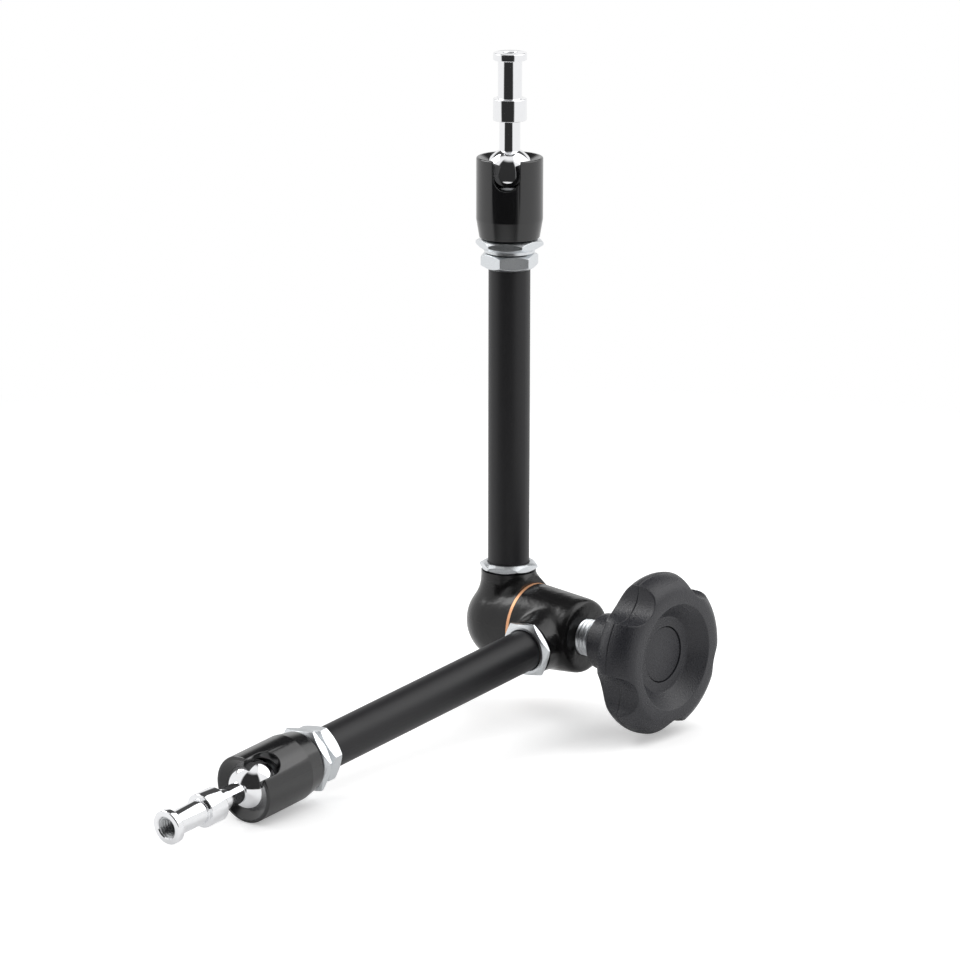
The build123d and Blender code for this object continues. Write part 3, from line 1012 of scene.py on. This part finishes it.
def close_tree(tree, geometry, material):
    """Ends a tree in Realize Instances and Set Material."""
    real = tree.add("GeometryNodeRealizeInstances", {}, {"Geometry": geometry})
    dressed = tree.add("GeometryNodeSetMaterial", {}, {"Geometry": real, "Material": material})
    output = tree.tree.nodes.new("NodeGroupOutput")
    tree.tree.links.new(dressed.socket, output.inputs[0])


def run_tree(piece, group, values):
    """Runs a tree on a piece with these inputs, and leaves a plain mesh."""
    modifier = piece.modifiers.new(group.name, "NODES")
    modifier.node_group = group
    for item in group.interface.items_tree:
        if item.in_out == "INPUT" and item.name in values:
            modifier[item.identifier] = values[item.name]
    apply_modifiers(piece)


def thread_tree(material):
    """A threaded ring: rows of points wound round the axis, whose radius rises and falls once a pitch."""
    number = "NodeSocketFloat"
    names = ("Crest Radius", "Root Radius", "Back Radius", "Pitch", "Length")
    group, tree, wires = geometry_tree("Thread", {name: number for name in names})
    columns = 96
    rows_a_pitch = 10
    rows = (wires["Length"] / wires["Pitch"] * rows_a_pitch).sum("ROUND") + 4
    size = {"Size X": 1.0, "Size Y": 1.0, "Vertices X": columns + 1, "Vertices Y": rows}
    grid = tree.add("GeometryNodeMeshGrid", {}, size)
    place = tree.add("GeometryNodeInputPosition")
    turn = place.part(0) + 0.5
    last = rows - 1
    row = ((place.part(1) + 0.5) * last).sum("ROUND")
    along = ((row - 1) / (rows - 4)).most(0.0).least(1.0)
    height = along * wires["Length"] * (row < last - 0.5)
    wave = (height / wires["Pitch"] - turn).sum("FRACT")
    ridge = ((wave - 0.5).sum("ABSOLUTE") * 2.6 - 0.3).most(0.0).least(1.0)
    threaded = wires["Root Radius"] + (wires["Crest Radius"] - wires["Root Radius"]) * ridge
    inside = (row > 0.5) * (row < last - 1.5)
    radius = wires["Back Radius"] + (threaded - wires["Back Radius"]) * inside
    angle = turn * math.tau
    x, y = radius * angle.sum("COSINE"), radius * angle.sum("SINE")
    target = tree.add("ShaderNodeCombineXYZ", {}, {0: x, 1: y, 2: height})
    wound = tree.add("GeometryNodeSetPosition", {}, {"Geometry": grid, "Position": target})
    joined = tree.add("GeometryNodeMergeByDistance", {}, {"Geometry": wound, "Distance": 1e-6})
    smooth = tree.add("GeometryNodeSetShadeSmooth", {}, {"Geometry": joined, "Shade Smooth": True})
    close_tree(tree, smooth, material)
    return group


def threaded(name, sizes, matrix, start, body, slot):
    """A threaded ring on a frame's axis, starting at a height."""
    piece = object_of(name, bpy.data.meshes.new(name))
    run_tree(piece, thread_tree(finish_of(slot)), sizes)
    with editing(piece.data) as built:
        bmesh.ops.recalc_face_normals(built, faces=built.faces)
    piece.data.transform(matrix @ Matrix.Translation((0, 0, start)))
    store_local(piece.data, matrix)
    settle(piece, body, slot)
    return piece


class ARM_OT_threads(bpy.types.Operator):
    """Winds the threads of the nipples and of the holes in the studs."""

    bl_idname = "arm.threads"
    bl_label = "Threads"

    def execute(self, context):
        settings = context.scene.friction_arm
        sizes = settings.thread
        hole_start = heights("ball_stud")[1] - sizes.thread_start
        nipple_start = heights("lock_nut")[0] - sizes.nipple_shown
        depth_a_pitch = 0.54
        for side in arm_axis:
            major = getattr(sizes, f"{side}_major")
            pitch = getattr(sizes, f"{side}_pitch")
            hole = {
                "Crest Radius": major - depth_a_pitch * pitch,
                "Root Radius": major,
                "Back Radius": major + sizes.hole_wall,
                "Pitch": pitch,
                "Length": sizes.thread_length,
            }
            threaded(f"{side}_stud_thread", hole, arm_frame[side], hole_start, f"{side}_stud", "bare_steel")
            nipple = {
                "Crest Radius": sizes.nipple_crest,
                "Root Radius": sizes.nipple_root,
                "Back Radius": sizes.nipple_back,
                "Pitch": sizes.nipple_pitch,
                "Length": sizes.nipple_shown,
            }
            threaded(f"{side}_nipple_thread", nipple, arm_frame[side], nipple_start, f"{side}_arm", "zinc")
        return {"FINISHED"}


def knob_outline(sizes, neck, face):
    """The knob's blank: neck, flared back, rounded grip and dished front, as (radius, height)."""
    turns = 9
    # How much the neck grows, and how far from its end
    growth = ((-0.0006, 0), (0, 0.0006), (0.00005, 0.005), (0.0003, 0.0105), (0.0014, 0.0158))
    neck_line = [(sizes.neck_radius + wider, neck + place) for wider, place in growth]
    rise = sizes.grip_radius - sizes.shoulder_radius
    reach_back = sizes.widest_place - sizes.shoulder_place
    widest = neck + sizes.widest_place
    quarter = [(step / turns) * math.pi / 2 for step in range(turns)]
    shoulder, front_edge = sizes.shoulder_radius, sizes.face_radius
    drop = sizes.grip_radius - front_edge
    depth = face - widest
    back = [(shoulder + rise * math.sin(a), widest - reach_back * math.cos(a)) for a in quarter]
    front = [(front_edge + drop * math.cos(a), widest + depth * math.sin(a)) for a in quarter]
    line = [*neck_line, *back, *front, (front_edge, face)]
    floor = face - sizes.dish_depth
    seam = neck + sizes.seam_place
    offsets = (-3, -2, -1.4, -1, -0.6, -0.3, 0, 0.3, 0.6, 1, 1.4, 2, 3)
    rows = [seam + offset * sizes.seam for offset in offsets]
    dish_edge, floor_edge = 0.0008, 0.0006
    return with_heights(flowing(line, 5), rows), [
        (sizes.dish_radius, face, dish_edge),
        (sizes.floor_radius, floor, floor_edge),
    ]


def with_heights(line, added):
    """Adds points at these heights to a line that rises all the way."""
    points = list(line)
    for height in added:
        for index, (low, high) in enumerate(zip(points, points[1:])):
            if low[1] < height < high[1]:
                part = (height - low[1]) / (high[1] - low[1])
                points.insert(index + 1, (low[0] + part * (high[0] - low[0]), height))
                break
    return points


def flowing(points, steps):
    """A smooth line through points."""
    ends = [points[0], *points, points[-1]]
    line = []
    for a, b, c, d in zip(ends, ends[1:], ends[2:], ends[3:]):
        for step in range(steps):
            t = step / steps
            weights = (
                -0.5 * t + t**2 - 0.5 * t**3,
                1 - 2.5 * t**2 + 1.5 * t**3,
                0.5 * t + 2 * t**2 - 1.5 * t**3,
                -0.5 * t**2 + 0.5 * t**3,
            )
            line.append(tuple(sum(w * p[i] for w, p in zip(weights, (a, b, c, d))) for i in (0, 1)))
    return line + [points[-1]]


def scallop_tree(material):
    """Presses finger scallops and a moulding line into a turned blank."""
    number = "NodeSocketFloat"
    inputs = {"Blank": "NodeSocketGeometry"}
    grip = ("Scallops", "Scallop Radius", "Valley", "Turn", "Softness")
    line = ("Seam", "Seam Place", "Seam Width", "Seam Inner")
    inputs.update({name: number for name in (*grip, *line)})
    group, tree, wires = geometry_tree("Knob grip", inputs)
    place = tree.add("GeometryNodeInputPosition")
    x, y, z = place.part(0), place.part(1), place.part(2)
    radius = x.beside(y)
    angle = y.sum("ARCTAN2", x)
    pitch = math.tau / wires["Scallops"]
    turned_angle = (angle - wires["Turn"]) / pitch
    nearest = turned_angle.sum("ROUND")
    off = (turned_angle - nearest) * pitch
    centre = wires["Valley"] + wires["Scallop Radius"]
    beside = centre * off.sum("SINE")
    depth = wires["Scallop Radius"] * wires["Scallop Radius"] - beside * beside
    wall = centre * off.sum("COSINE") - depth.most(0.0).sum("SQRT")
    out_of_reach = 1.0
    wall = wall + (depth < 0.0) * out_of_reach
    pressed = radius.soft_least(wall, wires["Softness"])
    near_seam = (z - wires["Seam Place"]) / wires["Seam Width"]
    groove = (near_seam * near_seam * -1.0).sum("EXPONENT")
    outer = radius > wires["Seam Inner"]
    shaped = pressed - groove * wires["Seam"] * outer
    smallest = 1e-6
    ratio = shaped / radius.most(smallest)
    target = tree.add("ShaderNodeCombineXYZ", {}, {0: x * ratio, 1: y * ratio, 2: z})
    shaped_knob = tree.add("GeometryNodeSetPosition", {}, {"Geometry": wires["Blank"], "Position": target})
    close_tree(tree, shaped_knob, material)
    return group


class ARM_OT_knob(bpy.types.Operator):
    """Makes the knob, its cap and its screw."""

    bl_idname = "arm.knob"
    bl_label = "Knob"

    def execute(self, context):
        settings = context.scene.friction_arm
        sizes = settings.knob
        neck, face = reach("knob_body")
        cap_back, cap_front = reach("knob_cap")
        cap_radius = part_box("knob_cap")[1].z - elbow.z
        back, dish = knob_outline(sizes, neck, face)
        pocket = cap_radius + sizes.cap_gap
        pocket_edge = 0.0002
        thread = settings.thread
        front = rounded([
            (*back[-1], 0),
            *dish,
            (pocket, face - sizes.dish_depth, pocket_edge),
            (pocket, cap_back, 0),
            (thread.screw_radius, cap_back, 0),
            (thread.screw_radius, neck, 0),
        ])
        blank = object_of("knob_grip", turned(back[:-1] + front, Matrix.Identity(4), 480))
        values = {
            "Scallops": float(sizes.scallops),
            "Scallop Radius": sizes.scallop_radius,
            "Valley": sizes.valley,
            "Turn": sizes.scallop_turn,
            "Softness": sizes.softness,
            "Seam": sizes.seam,
            "Seam Place": neck + sizes.seam_place,
            "Seam Width": sizes.seam_width,
            "Seam Inner": sizes.seam_inner,
        }
        run_tree(blank, scallop_tree(finish_of("knob_plastic")), values)
        blank.data.transform(axis_frame)
        smooth_shaded(blank.data)
        settle(blank, "knob", "knob_plastic", "knob_body")
        cap_edge = 0.0004
        cap_outline = rounded([
            (0, cap_back, 0),
            (cap_radius, cap_back, 0),
            (cap_radius, cap_front, cap_edge),
            (0, cap_front, 0),
        ])
        cap = object_of("knob_cap_disc", turned(cap_outline, axis_frame, 160))
        smooth_shaded(cap.data)
        settle(cap, "knob", "knob_plastic", "knob_cap")
        start, end = reach("knob_screw")
        inside_neck, shank_gap = 0.002, 0.0001
        visible_end = neck + inside_neck
        screw = {
            "Crest Radius": thread.screw_radius,
            "Root Radius": thread.screw_radius - thread.screw_depth,
            "Back Radius": thread.screw_back,
            "Pitch": thread.screw_pitch,
            "Length": visible_end - start,
        }
        wound = threaded("knob_screw_thread", screw, axis_frame, start, "knob", "zinc")
        inside = thread.screw_radius - shank_gap
        shank_outline = [(0, visible_end), (inside, visible_end), (inside, end), (0, end)]
        shank = object_of("knob_screw_shank", turned(shank_outline, axis_frame, 48))
        settle(shank, "knob", "zinc")
        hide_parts("knob_screw")
        return {"FINISHED"}


class ARM_OT_clamp_train(bpy.types.Operator):
    """Finishes the washer and the pieces inside."""

    bl_idname = "arm.clamp_train"
    bl_label = "Clamp train"

    def execute(self, context):
        paint("friction_washer", "copper")
        for node in ("pivot_sleeve", "pivot_retaining_ring", "wedge_spindle"):
            paint(node, "bare_steel")
        for side in arm_axis:
            paint(f"{side}_push_rod", "bare_steel")
            paint(f"{side}_ball_pad", "bare_steel")
        return {"FINISHED"}


def lamp(name, place, target, size, power):
    """A square soft light that points at a target."""
    data = bpy.data.lights.new(name, "AREA")
    data.size = size
    data.energy = power
    light = object_of(name, data)
    light.location = place
    light.rotation_euler = (target - place).to_track_quat("-Z", "Y").to_euler()


def floor_material(middle, stage):
    """A white floor that keeps soft shadows. Polished metal sees only the part of it near the arm."""
    glow_strength = 0.34
    white_start, shine_start = stage.white_span * 0.5, stage.shine_span * 0.8
    material = bpy.data.materials.new("white floor")
    material.use_nodes = True
    tree = Tree(material.node_tree)
    nodes = material.node_tree.nodes
    shader = nodes["Principled BSDF"]
    shader.inputs["Base Color"].default_value = (0.92, 0.92, 0.92, 1)
    shader.inputs["Roughness"].default_value = 0.9
    shader.inputs["Specular IOR Level"].default_value = 0.0
    camera_ray = tree.add("ShaderNodeLightPath", output="Is Camera Ray")
    glossy_ray = tree.add("ShaderNodeLightPath", output="Is Glossy Ray")
    plain = Wire(tree, shader.outputs[0])
    glow = tree.add("ShaderNodeEmission", {}, {"Color": (1, 1, 1, 1), "Strength": glow_strength})
    lit = tree.add("ShaderNodeAddShader", {}, {0: plain, 1: glow})
    seen = tree.add("ShaderNodeMixShader", {}, {0: camera_ray, 1: plain, 2: lit})
    place = tree.add("ShaderNodeTexCoord", output="Object")
    span = (place.part(0) - middle.x).beside(place.part(1) - middle.y)
    white = tree.add("ShaderNodeEmission", {}, {"Color": (1, 1, 1, 1), "Strength": 1.0})
    far = span.step(white_start, stage.white_span) * camera_ray
    seen = tree.add("ShaderNodeMixShader", {}, {0: far, 1: seen, 2: white})
    beyond = span.step(shine_start, stage.shine_span) * glossy_ray
    clear = tree.add("ShaderNodeBsdfTransparent")
    limited = tree.add("ShaderNodeMixShader", {}, {0: beyond, 1: seen, 2: clear})
    tree.feed(nodes["Material Output"].inputs[0], limited)
    return material


def studio_world(stage):
    """A white studio that polished metal shows with dark bands: from a dark card about the camera, and
    from a darker part high behind the arm.
    """
    card_depth, behind_depth, straight_depth = 0.97, 0.92, 0.4
    diffuse = 0.62
    soft = math.radians(5)
    world = bpy.data.worlds.new("studio")
    bpy.context.scene.world = world
    world.use_nodes = True
    tree = Tree(world.node_tree)
    way = tree.add("ShaderNodeTexCoord", output="Generated")
    x, y, z = way.part(0), way.part(1), way.part(2)
    ahead = x * math.sin(stage.azimuth) - y * math.cos(stage.azimuth)
    aside = x * math.cos(stage.azimuth) + y * math.sin(stage.azimuth)
    turn = aside.sum("ARCTAN2", ahead)
    dark = turn.step(stage.card_left - soft, stage.card_left + soft)
    dark = dark * (1.0 - turn.step(stage.card_right - soft, stage.card_right + soft))
    low = 1.0 - z.step(0.82, 0.97)
    away = turn.sum("ABSOLUTE")
    high = z.step(0.32, 0.50) * (1.0 - z.step(0.90, 0.99))
    behind = away.step(math.radians(100), math.radians(125)) * high
    straight = away.step(math.radians(160), math.radians(175)) * (1.0 - z.step(0.0, 0.1))
    strength = (1.0 - dark * low * card_depth) * (1.0 - behind * behind_depth)
    strength = strength * (1.0 - straight * straight_depth)
    camera_ray = tree.add("ShaderNodeLightPath", output="Is Camera Ray")
    glossy_ray = tree.add("ShaderNodeLightPath", output="Is Glossy Ray")
    level = camera_ray + (1.0 - camera_ray) * (glossy_ray * strength + (1.0 - glossy_ray) * diffuse)
    background = world.node_tree.nodes["Background"]
    background.inputs["Color"].default_value = (1, 1, 1, 1)
    tree.feed(background.inputs["Strength"], level)


class ARM_OT_stage(bpy.types.Operator):
    """Sets the camera, the lights and the floor."""

    bl_idname = "arm.stage"
    bl_label = "Stage"

    def execute(self, context):
        stage = context.scene.friction_arm.stage
        turn, lift = stage.azimuth, stage.elevation
        back = Vector((math.sin(turn) * math.cos(lift), -math.cos(turn) * math.cos(lift), math.sin(lift)))
        right = Vector((math.cos(turn), math.sin(turn), 0))
        down = -back.cross(right)
        data = bpy.data.cameras.new("camera")
        data.lens = stage.focal
        data.clip_end = 50
        camera = object_of("camera", data)
        aim = elbow - right * stage.elbow_right - down * stage.elbow_down
        camera.location = aim + back * stage.distance
        facing = Matrix((right, -down, back)).transposed() @ Matrix.Rotation(stage.roll, 3, "Z")
        camera.rotation_euler = facing.to_euler()
        context.scene.camera = camera
        low = cad_box[0].z
        span = stage.floor_span / 2
        floor_mesh = bpy.data.meshes.new("floor")
        corners = [(-span, -span, low), (span, -span, low), (span, span, low), (-span, span, low)]
        floor_mesh.from_pydata(corners, [], [(0, 1, 2, 3)])
        arm_middle = (cad_box[0] + cad_box[1]) / 2
        floor_mesh.materials.append(floor_material(arm_middle, stage))
        object_of("floor", floor_mesh)
        key_place = elbow + Vector((0.75, 0.95, 1.5))
        fill_place = elbow + Vector((-1.25, -0.35, 1.25))
        lamp("key", key_place, elbow, size=1.9, power=18)
        lamp("fill", fill_place, elbow, size=0.9, power=12)
        studio_world(stage)
        context.scene.view_settings.view_transform = "Standard"
        return {"FINISHED"}


class ARM_PT_panel(bpy.types.Panel):
    """Lists the steps that make the arm."""

    bl_idname = "ARM_PT_panel"
    bl_label = "Friction arm"
    bl_space_type = "VIEW_3D"
    bl_region_type = "UI"
    bl_category = "Friction arm"

    def draw(self, context):
        for step in steps:
            self.layout.operator(step.bl_idname)


steps = (
    ARM_OT_stage,
    ARM_OT_castings,
    ARM_OT_tubes,
    ARM_OT_nuts,
    ARM_OT_sockets,
    ARM_OT_studs,
    ARM_OT_threads,
    ARM_OT_knob,
    ARM_OT_clamp_train,
)
groups = (CastingSizes, SocketSizes, StudSizes, KnobSizes, ThreadSizes, Colours, StageSizes, FrictionArm)


def register():
    for item in (*groups, *steps, ARM_PT_panel):
        bpy.utils.register_class(item)
    bpy.types.Scene.friction_arm = PointerProperty(type=FrictionArm)


def unregister():
    del bpy.types.Scene.friction_arm
    for item in reversed((*groups, *steps, ARM_PT_panel)):
        bpy.utils.unregister_class(item)


def main():
    register()
    for step in steps:
        getattr(bpy.ops.arm, step.bl_idname.split(".")[1])()


if __name__ == "__main__":
    main()
